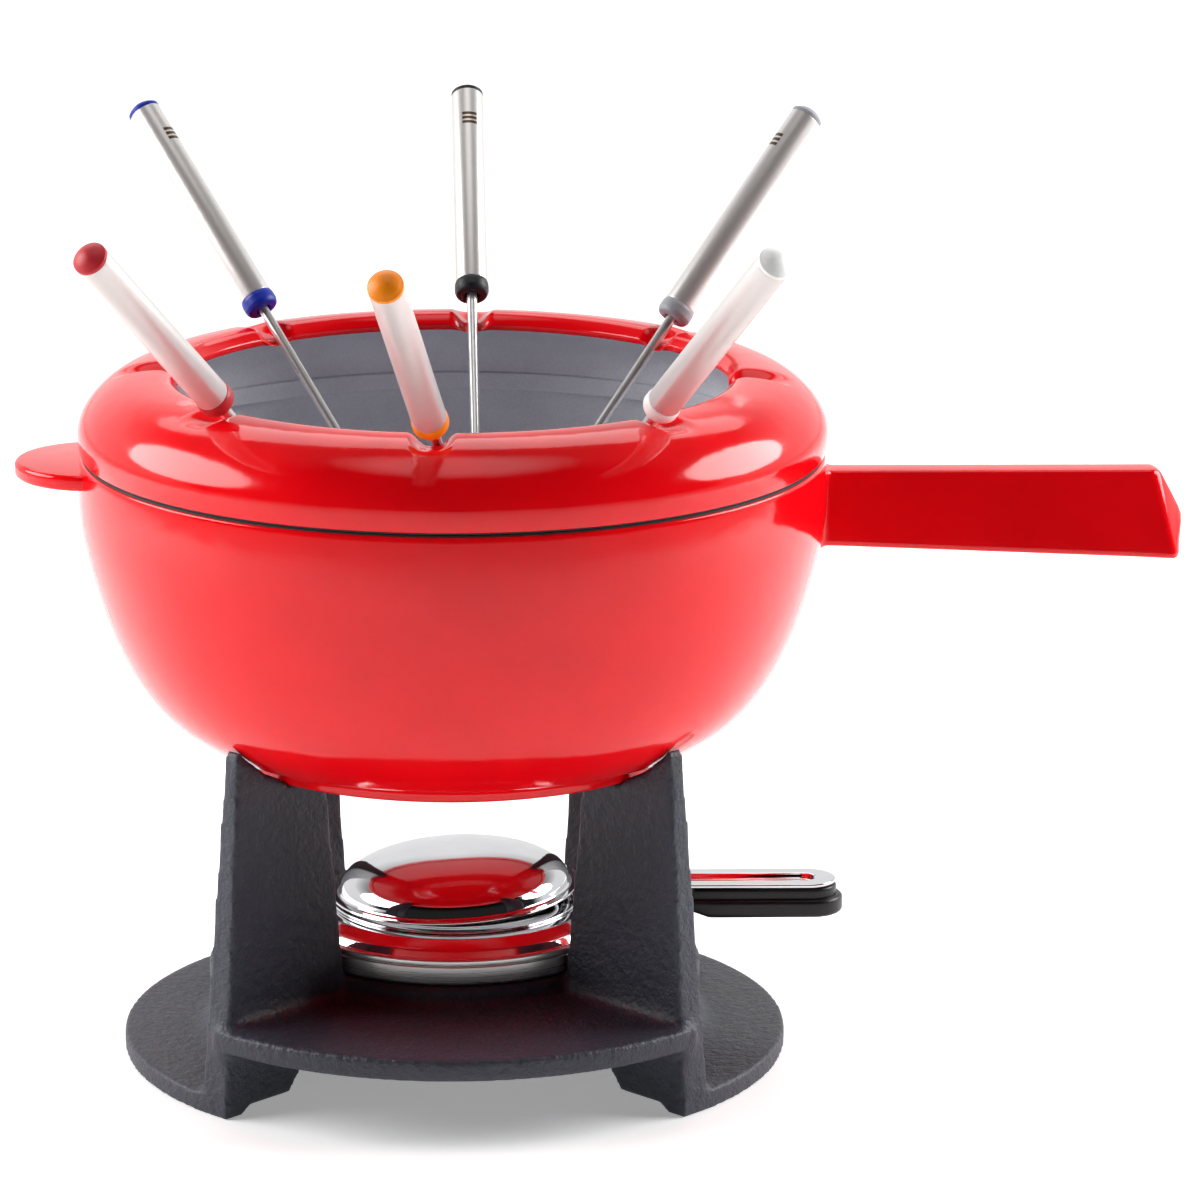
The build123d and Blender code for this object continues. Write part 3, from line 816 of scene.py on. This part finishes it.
def pot_handle():
    """Straight bar whose root runs out of the bowl's skin in a concave fillet."""
    sections = []
    for k in range(-1, 8):
        a = math.pi / 2 * max(k, 0) / 7
        grow = HANDLE_FILLET * (1 - math.sin(a))
        out = HANDLE_FILLET * (1 - math.cos(a)) if k >= 0 else -HANDLE_SINK
        top = HANDLE_TOP_Z + HANDLE_TOP_FILLET_SHARE * grow
        ring = [(y, min(z, top)) for y, z in handle_section(HANDLE_ROOT_X, grow)]
        sections.append([(bowl_side(y, z) + out - SKIN_OVERLAP, y, z) for y, z in ring])
    straight = HANDLE_STRAIGHT_END_X
    for x in np.linspace(HANDLE_ROOT_X + 2.0, straight, 24):
        sections.append([(x, y, z) for y, z in handle_section(x, 0)])
    edge = HANDLE_END_EDGE
    for s in (0.35, 0.7, 1.0):
        ring = handle_section(straight + s * (HANDLE_END_X - straight), 0)
        sections.append([(straight + s * (handle_end_x(y, z) - edge - straight), y, z) for y, z in ring])
    for k in range(1, 7):
        a = math.pi / 2 * k / 6
        ring = handle_section(HANDLE_END_X, -edge * (1 - math.cos(a)))
        sections.append([(handle_end_x(y, z) - edge * (1 - math.sin(a)), y, z) for y, z in ring])
    for scale in (0.8, 0.55, 0.3, 0.1):
        ring = handle_section(HANDLE_END_X, -edge, scale)
        sections.append([(handle_end_x(y, z), y, z) for y, z in ring])
    return loft(sections)


def tab_outline():
    """Round tab whose sides run out into the bowl in small concave corners."""
    centre = TAB_TIP_X + TAB_R
    first, last = (math.radians(a) for a in TAB_ARC)
    tip = [(centre + TAB_R * math.cos(a), TAB_R * math.sin(a)) for a in np.linspace(first, last, 64)]
    low = []
    for a in np.linspace(0, math.pi / 2, 8):
        x = TAB_CORNER_X + TAB_CORNER_R * math.sin(a)
        low.append((x, -TAB_R - TAB_FLARE + TAB_CORNER_R * math.cos(a)))
    low.append((TAB_ROOT_X, -TAB_ROOT_HALF_W))
    high = [(x, -y) for x, y in low][::-1]
    return tip + low + high


def pot():
    rim_z = SEAM_Z - RIM_H
    outer = [p for p in spline(BOWL, 110) if p[1] < rim_z - 0.5]
    lip = rounded([(LIP_INNER_R + COAT, rim_z), (LIP_OUTER_R, rim_z, 0.7), outer[0]])
    inside = [p for p in cavity_line(COAT) if p[1] < rim_z][::-1]
    shell = lathe(lip + outer[1:] + rounded(FOOT)[1:] + inside, 288)
    tab = slab(tab_outline(), TAB_TOP_Z - TAB_T, TAB_TOP_Z, TAB_EDGE, 5)
    piece("pot_casting", merged(shell, pot_handle(), tab), RED, "pot", ["pot"], 50.0)
    rim = [
        (RIM_INNER_R, SEAM_Z, 0.4),
        (RIM_OUTER_R, SEAM_Z, 0.4),
        (RIM_OUTER_R, rim_z),
        (RIM_INNER_R + 0.2, rim_z),
    ]
    piece("pot_rim", lathe(rounded(rim, closed=True), 192), BARE_RIM, "pot")
    front = [p for p in cavity_line(0.0) if p[1] < rim_z]
    back = [p for p in cavity_line(COAT - 0.02) if p[1] < rim_z][::-1]
    piece("pot_lining", lathe(front + back, 256), LINING, "pot")


# ---------------------------------------------------------------- splash ring
def notch_angle(number):
    return math.radians(number * 360.0 / NOTCH_COUNT + NOTCH_OFFSET)


def press_notches(verts):
    """Sinks a soft trough for each fork into the ring's crest and inner lip."""
    v = np.array(verts, float)
    r = np.hypot(v[:, 0], v[:, 1])
    a = np.arctan2(v[:, 1], v[:, 0])
    away = 1 - smoothstep(CREST_R + 2, NOTCH_OUTER_R, r)
    # the lip's underside follows its top only a little
    top_share = smoothstep(NOTCH_UNDER_Z, NOTCH_SKIN_Z, v[:, 2])
    skin = NOTCH_UNDER_SHARE + (1 - NOTCH_UNDER_SHARE) * top_share
    for number in range(NOTCH_COUNT):
        off = (a - notch_angle(number) + math.pi) % (2 * math.pi) - math.pi
        side = np.abs(off) * r
        dip = NOTCH_DEPTH * away * (1 - smoothstep(NOTCH_HALF_W * 0.25, NOTCH_HALF_W * 1.25, side))
        v[:, 2] -= dip * skin
    return v


def splash_ring():
    """Red shell on top, grey shell with the spigot inside it, and the bare rim that meets the pot."""
    lining = spline(RING_INNER, 40)
    outer = [p for p in spline(RING_OUTER, 90) if p[1] > RING_FOOT_TOP_Z or p[0] < 100]
    lip = rounded([RING_OUTER[-1], RING_LIP, RING_INNER[0]])
    back = [(r + COAT, z + COAT) for r, z in lining]
    verts, faces = lathe(rounded(RING_FOOT)[:-1] + outer + lip[1:-1] + back, RING_SEGMENTS)
    shape = (press_notches(verts), faces)
    piece("ring_casting", shape, RED, "splash_ring", ["splash_ring"], 60.0)

    spigot = [
        (SPIGOT_INNER_R, RING_BOTTOM_Z, 0.6),
        (SPIGOT_INNER_R, SPIGOT_BOTTOM_Z, 0.6),
        (SPIGOT_R, SPIGOT_BOTTOM_Z, 0.6),
        (SPIGOT_R, RING_BOTTOM_Z),
    ]
    front = lining + [(SPIGOT_INNER_R, RING_BOTTOM_Z + 0.6)] + rounded(spigot)[1:]
    skin = [(r + COAT - 0.05, z + COAT - 0.05) for r, z in lining][::-1]
    verts, faces = lathe(front + [(SPIGOT_R, RING_SKIN_Z - 0.02)] + skin, RING_SEGMENTS)
    shape = (press_notches(verts), faces)
    piece("ring_lining", shape, LINING, "splash_ring", sharp=60.0)

    rim = [
        (SPIGOT_R - 0.2, RING_BOTTOM_Z, 0.2),
        (RING_RIM_R, RING_BOTTOM_Z, 0.4),
        (RING_RIM_R, RING_SKIN_Z),
        (SPIGOT_R - 0.2, RING_SKIN_Z),
    ]
    piece("ring_rim", lathe(rounded(rim, closed=True), 192), BARE_RIM, "splash_ring")


# ---------------------------------------------------------------- forks
def fork_place(number, turn, lean, heading, slide):
    """Matrix of a fork's own frame: origin at the collar's lower end, Z along the handle, Y up and in."""
    around = notch_angle(number) + math.radians(turn)
    tilt, aim = math.radians(lean), math.radians(heading)
    along = Vector((math.sin(tilt) * math.cos(aim), math.sin(tilt) * math.sin(aim), math.cos(tilt)))
    level = Vector((-math.sin(aim), math.cos(aim), 0))
    origin = Vector((CREST_R * math.cos(around), CREST_R * math.sin(around), CREST_Z))
    origin = (origin + along * (COLLAR_STANDOFF + slide)) * MM
    turned = Matrix((level, along.cross(level), along)).transposed()
    return Matrix.Translation(origin) @ turned.to_4x4()


def fork_shaft():
    """Rod with a flattened, widened end that splits into two barbed tines."""
    stem_end = -ROD_LENGTH + HEAD_OVERLAP
    stem = [(0, ROD_PLUG), (ROD_R, ROD_PLUG), (ROD_R, 0), (ROD_TIP_R, stem_end), (0, stem_end)]
    inner = TINE_GAP / 2
    half = inner + TINE_W
    root_z = -ROD_LENGTH - HEAD_LENGTH
    tip_z = root_z - TINE_LENGTH
    right = [
        (inner, root_z),
        (inner, tip_z + 6.5),
        (inner - 0.45, tip_z + 5.6),
        (inner + 0.25, tip_z + 2.6),
        (half - 0.75, tip_z + 0.2),
        (half - 0.1, tip_z + 2.4),
        (half, tip_z + 4.5),
        (half, root_z + 1.5),
        (half - 0.35, root_z + 3.6),
        (ROD_TIP_R + 0.25, -ROD_LENGTH - 1.5),
        (ROD_TIP_R, stem_end),
    ]
    left = [(-x, z) for x, z in right][::-1]
    verts, faces = slab(right + left, -TINE_T / 2, TINE_T / 2, TINE_EDGE, 3)
    tines = np.stack([verts[:, 0], verts[:, 2], verts[:, 1]], 1), faces
    return merged(lathe(stem, 32, closed=False), tines)


def fork_ferrule():
    """Collar at the handle's lower end, with the plug that closes the tube."""
    corners = [
        (ROD_R + 0.05, 3.0),
        (2.3, 3.0),
        (2.3, 0.3, 0.2),
        (2.9, 0.0, 0.3),
        (4.7, 0.25, 1.2),
        (COLLAR_R, 1.8, 1.0),
        (COLLAR_R, 3.9, 0.5),
        (COLLAR_R - 0.25, COLLAR_H, 0.3),
        (PLUG_R, COLLAR_H),
        (PLUG_R, COLLAR_H + PLUG_LENGTH, 0.4),
        (ROD_R + 0.05, COLLAR_H + PLUG_LENGTH),
    ]
    return lathe(rounded(corners), 64)


def fork_tube():
    corners = [
        (HANDLE_R, COLLAR_H, TUBE_EDGE),
        (HANDLE_R, TUBE_END, TUBE_EDGE),
        (HANDLE_BORE_R, TUBE_END),
        (HANDLE_BORE_R, COLLAR_H),
    ]
    return lathe(rounded(corners, closed=True), 64)


def fork_button():
    """End cap: a plug in the tube and a shallow dome with a brim."""
    foot = TUBE_END + 0.05
    brim = TUBE_END + CAP_BRIM_H
    low = TUBE_END - PLUG_LENGTH
    plug = [(0, low), (PLUG_R, low), (PLUG_R, foot), (HANDLE_R, foot)]
    dome = rounded([(HANDLE_R, foot), (HANDLE_R, brim, 0.4), (HANDLE_R * 0.9, brim + 0.3, 0.5)])[1:]
    for share in np.linspace(0.82, 0, 10):
        dome.append((HANDLE_R * share, brim + (CAP_TOP - brim) * (1 - share**2)))
    return lathe(plug + dome, 64, closed=False)


def fork(name, number, turn, lean, heading, slide, mark_turn):
    place = fork_place(number, turn, lean, heading, slide)

    def add(part, node, shape, material, slot, where):
        nodes = [f"fork_{name}_{node}"]
        piece(f"fork_{name}_{part}", shape, material, f"fork_{name}", nodes, place=where)

    turned = place @ Matrix.Rotation(mark_turn, 4, "Z")
    add("shaft", "rod", fork_shaft(), ROD_STEEL, "fork_steel", place)
    add("ferrule", "collar", fork_ferrule(), CAPS[name], f"cap_{name}", place)
    add("tube", "handle", fork_tube(), HANDLE_STEEL, "brushed_steel", turned)
    add("button", "cap", fork_button(), CAPS[name], f"cap_{name}", place)


# ---------------------------------------------------------------- burner
def burner():
    def add(name, shape, material, slot, node):
        piece(name, shape, material, "burner", [node])

    add("burner_can", lathe(rounded(CUP), 256, closed=False), CUP_STEEL, "brushed_steel", "burner_cup")
    add("burner_wick", lathe(rounded(WICK), 128, closed=False), FELT, "wick", "burner_wick_pad")
    add("burner_gauze_mesh", gauze(), GAUZE, "gauze_steel", "burner_gauze")
    shoulder = lathe(rounded(SHOULDER, closed=True), 256)
    add("burner_shoulder", shoulder, MIRROR, "polished_steel", "burner_top")
    add("burner_tang_plate", tang(), MIRROR, "polished_steel", "burner_tang")
    add("burner_grip_bar", grip(), GRIP_BLACK, "grip_black", "burner_grip")
    add("burner_rivets", rivets(), ROD_STEEL, "polished_steel", "burner_grip_rivets")
    cover = merged(lid_cover(), lid_handle())
    piece("burner_cover", cover, MIRROR, "burner_lid", ["burner_lid"], 50.0)


def gauze():
    """Woven wire disc over the wick: two sets of wires that pass over and under each other."""
    wire = GAUZE_WIRE_R
    square = [(wire, 0), (0, wire), (-wire, 0), (0, -wire)]
    parts = [lathe(rounded(GAUZE_HOOP, closed=True, steps=2), 128)]
    for turn in (0, 1):
        for i, at in enumerate(np.arange(-GAUZE_SPAN, GAUZE_SPAN + 0.1, GAUZE_PITCH)):
            half = math.sqrt(GAUZE_R**2 - at**2)
            line = np.linspace(-half, half, max(6, int(2 * half / (GAUZE_PITCH / 3))))
            lift = GAUZE_LIFT * np.cos(math.pi * line / GAUZE_PITCH + math.pi * (i + turn))
            rings = []
            for s, h in zip(line, lift):
                ring = [(s, at + dy, GAUZE_Z + h + dz) for dy, dz in square]
                rings.append([(y, x, z) for x, y, z in ring] if turn else ring)
            parts.append(loft(rings))
    return merged(*parts)


def tang():
    """Flat ring round the mouth and the strip that steps down from it into the grip."""
    high, low = NECK_Z + 0.05, TANG_BOTTOM_Z
    xs, heights = (TANG_ROOT_X, TANG_BEND_X, TANG_JOGGLE_X, TANG_END_X), (high, high, low, low)
    sections = []
    for x in np.concatenate([np.linspace(TANG_ROOT_X, 46, 27), np.linspace(48, TANG_END_X, 12)]):
        z = float(np.interp(x, xs, heights))
        half = TANG_HALF_W + TANG_FLARE_W * float(1 - smoothstep(*TANG_FLARE_XS, x))
        corners = [(-half, z), (half, z), (half, z + TANG_T), (-half, z + TANG_T)]
        ring = rounded([(*corner, TANG_EDGE) for corner in corners], closed=True, steps=2)
        sections.append([(x, a, b) for a, b in ring])
    return merged(lathe(rounded(TANG_RING, closed=True, steps=3), 256), loft(sections))


def grip():
    """Black moulded grip: rounded bar, thinned under its inner end, with a raised pad on top."""
    outline = stadium(GRIP_START_X, GRIP_END_X, GRIP_HALF_W, 24)
    dense = []
    for (xa, ya), (xb, yb) in zip(outline, outline[1:] + outline[:1]):
        steps = max(1, int(math.hypot(xb - xa, yb - ya)))
        dense += [(xa + (xb - xa) * k / steps, ya + (yb - ya) * k / steps) for k in range(steps)]
    verts, faces = slab(dense, GRIP_BOTTOM_Z, GRIP_TOP_Z, GRIP_EDGE, 5)
    nose = np.clip((GRIP_START_X + GRIP_NOSE_L - verts[:, 0]) / GRIP_NOSE_L, 0, 1)
    depth = np.clip((GRIP_TOP_Z - verts[:, 2]) / (GRIP_TOP_Z - GRIP_BOTTOM_Z), 0, 1)
    verts[:, 2] += GRIP_NOSE_LIFT * nose * depth
    pad_outline = stadium(PAD_START_X, PAD_END_X, PAD_HALF_W, 24)
    return merged((verts, faces), slab(pad_outline, GRIP_TOP_Z - PAD_SINK, PAD_TOP_Z, PAD_EDGE, 4))


def rivets():
    parts = []
    for x in RIVET_XS:
        verts, faces = lathe(rounded(RIVET), 32, closed=False)
        parts.append((verts + np.array([x, 0, 0]), faces))
    return merged(*parts)


def dome_line(offset):
    """Flattened dome, superelliptic in section, from its top out to its foot."""
    out = []
    for t in np.linspace(0, math.pi / 2 * DOME_SHARE, 60):
        r = (LID_DOME_R - offset) * math.sin(t) ** (2 / DOME_POWER)
        out.append((r, (LID_DOME_H - offset) * math.cos(t) ** (2 / DOME_POWER)))
    return out


def lid_cover():
    """Domed cover with a flat flange, tilted a little."""
    top = dome_line(0.0)
    under = dome_line(LID_T)[::-1]
    flange = [
        top[-1],
        (LID_DOME_R + 0.1, 0.0, 1.6),
        (LID_R, 0.0, 0.35),
        (LID_R, -LID_T, 0.35),
        (LID_DOME_R - 0.1, -LID_T, 1.2),
        under[0],
    ]
    verts, faces = lathe(top[:-1] + rounded(flange) + under[1:], 256, closed=False)
    tilt = np.array(Matrix.Rotation(-LID_TILT, 3, "Y"))
    return verts @ tilt.T + np.array([0, 0, LID_Z]), faces


def strip_top_z(x, y):
    """Height of the strip handle's top: it rises from the flange and has a pressed groove."""
    flange = LID_Z + x * math.tan(LID_TILT)
    base = flange + (STRIP_TOP_Z - flange) * smoothstep(STRIP_START_X, STRIP_START_X + STRIP_RISE_L, x)
    nearest = np.clip(x, GROOVE_START_X + GROOVE_HALF_W, GROOVE_END_X - GROOVE_HALF_W)
    away = np.hypot(x - nearest, y)
    return base - GROOVE_DEPTH * (1 - smoothstep(GROOVE_HALF_W * 0.62, GROOVE_HALF_W * 1.08, away))


def strip_ring(d):
    """Points at distance d from the strip's centre line, from the root's near side round to its far side."""
    end = STRIP_END_X - STRIP_HALF_W
    near = []
    for x in np.linspace(STRIP_START_X, end, 60):
        flare = 1 + 0.5 * (1 - smoothstep(STRIP_START_X, STRIP_START_X + STRIP_FLARE_L, x))
        near.append((x, -d * flare))
    angles = np.linspace(-math.pi / 2, math.pi / 2, 25)[1:-1]
    arc = [(end + d * math.cos(a), d * math.sin(a)) for a in angles]
    far = [(x, -y) for x, y in near[::-1]]
    return near + arc + far


def lid_handle():
    """Strip handle as rings round its own centre line: out along the top, over the edge and back below."""

    def section(d, drop):
        return [(x, y, float(strip_top_z(x, y)) + drop) for x, y in strip_ring(d)]

    inner = STRIP_HALF_W - STRIP_EDGE
    flats = np.linspace(0.02, inner, STRIP_RINGS)
    turns = [math.pi / 2 * k / STRIP_EDGE_RINGS for k in range(1, STRIP_EDGE_RINGS + 1)]
    edges = [(inner + STRIP_EDGE * math.sin(a), STRIP_EDGE * (1 - math.cos(a))) for a in turns]
    sections = [section(d, 0.0) for d in flats]
    sections += [section(d, -drop) for d, drop in edges]
    sections += [section(d, drop - STRIP_T) for d, drop in edges[::-1]]
    sections += [section(d, -STRIP_T) for d in flats[::-1]]
    return loft(sections)


# ---------------------------------------------------------------- studio
def studio():
    """Pale floor, a sky that is bright behind the object, and three soft lights."""
    reach = FLOOR_REACH
    corners = [(-reach, -reach, 0), (reach, -reach, 0), (reach, reach, 0), (-reach, reach, 0)]
    floor_mesh = bpy.data.meshes.new("floor")
    floor_mesh.from_pydata(corners, [], [(0, 1, 2, 3)])
    floor = bpy.data.objects.new("floor", floor_mesh)
    scene.collection.objects.link(floor)
    material, _, shader = new_material("floor_white")
    shader.inputs["Base Color"].default_value = FLOOR_WHITE
    shader.inputs["Roughness"].default_value = 0.7
    shader.inputs["Emission Color"].default_value = WHITE
    shader.inputs["Emission Strength"].default_value = FLOOR_GLOW
    floor_mesh.materials.append(material)

    world = bpy.data.worlds.new("studio")
    scene.world = world
    world.use_nodes = True
    tree = world.node_tree
    background = tree.nodes["Background"]
    where = tree.nodes.new("ShaderNodeTexCoord")
    split = tree.nodes.new("ShaderNodeSeparateXYZ")
    tree.links.new(where.outputs["Generated"], split.inputs["Vector"])
    _, y, z = split.outputs
    back = remap(tree, y, *FRONT_EDGE, FRONT_DIM, 1.0)
    low = remap(tree, z, *HIGH_EDGE, 1.0, HIGH_DIM)
    top = remap(tree, z, *TOP_EDGE, 0.0, TOP_GLOW)
    strength = math_node(tree, "MAXIMUM", product(tree, back, low), top)
    tree.links.new(strength, background.inputs["Strength"])
    background.inputs["Color"].default_value = WHITE

    for name, place, aim, size, power in SOFTBOXES:
        light = bpy.data.lights.new(name, "AREA")
        light.shape = "ELLIPSE"
        light.size, light.size_y = size
        light.energy = power
        lamp = bpy.data.objects.new(name, light)
        scene.collection.objects.link(lamp)
        lamp.location = place
        lamp.rotation_euler = (Vector(aim) - Vector(place)).to_track_quat("-Z", "Y").to_euler()


def camera():
    data = bpy.data.cameras.new("camera")
    data.sensor_width = CAMERA_SENSOR
    data.lens = CAMERA_LENS
    data.clip_start, data.clip_end = 0.1, 60.0
    obj = bpy.data.objects.new("camera", data)
    scene.collection.objects.link(obj)
    yaw = Matrix.Rotation(-CAMERA_YAW, 4, "Z")
    pitch = Matrix.Rotation(math.pi / 2 - CAMERA_PITCH, 4, "X")
    roll = Matrix.Rotation(CAMERA_ROLL, 4, "Z")
    obj.matrix_world = Matrix.Translation(CAMERA_PLACE) @ yaw @ pitch @ roll
    scene.camera = obj


# ---------------------------------------------------------------- build
RED = enamel("red_enamel", ENAMEL_RED, ENAMEL_SHADE, 0.1)
LINING = lining_enamel()
CAST = cast_coating()
BARE_RIM = plastic("bare_rim", (0.02, 0.02, 0.022), 0.6, grain=0.4)
HANDLE_STEEL = handle_steel()
ROD_STEEL = steel("rod_steel", (0.74, 0.73, 0.71), 0.26, lines=(900.0, 900.0, 60.0), metallic=0.7)
CUP_STEEL = steel("cup_steel", (0.72, 0.71, 0.70), 0.26, lines=(6.0, 6.0, 6000.0))
MIRROR = steel("mirror_steel", (0.68, 0.68, 0.695), 0.06)
GAUZE = steel("gauze_wire", (0.5, 0.5, 0.5), 0.35)
GRIP_BLACK = plastic("grip_black", (0.008, 0.008, 0.010), 0.34)
FELT = felt()
CAPS = {name: plastic(f"cap_{name}", colour, 0.42, grain=0.1) for name, colour in CAP_COLOURS.items()}

scene.view_settings.view_transform = "Standard"
stand()
pot()
splash_ring()
for details in FORKS:
    fork(*details)
burner()
studio()
camera()
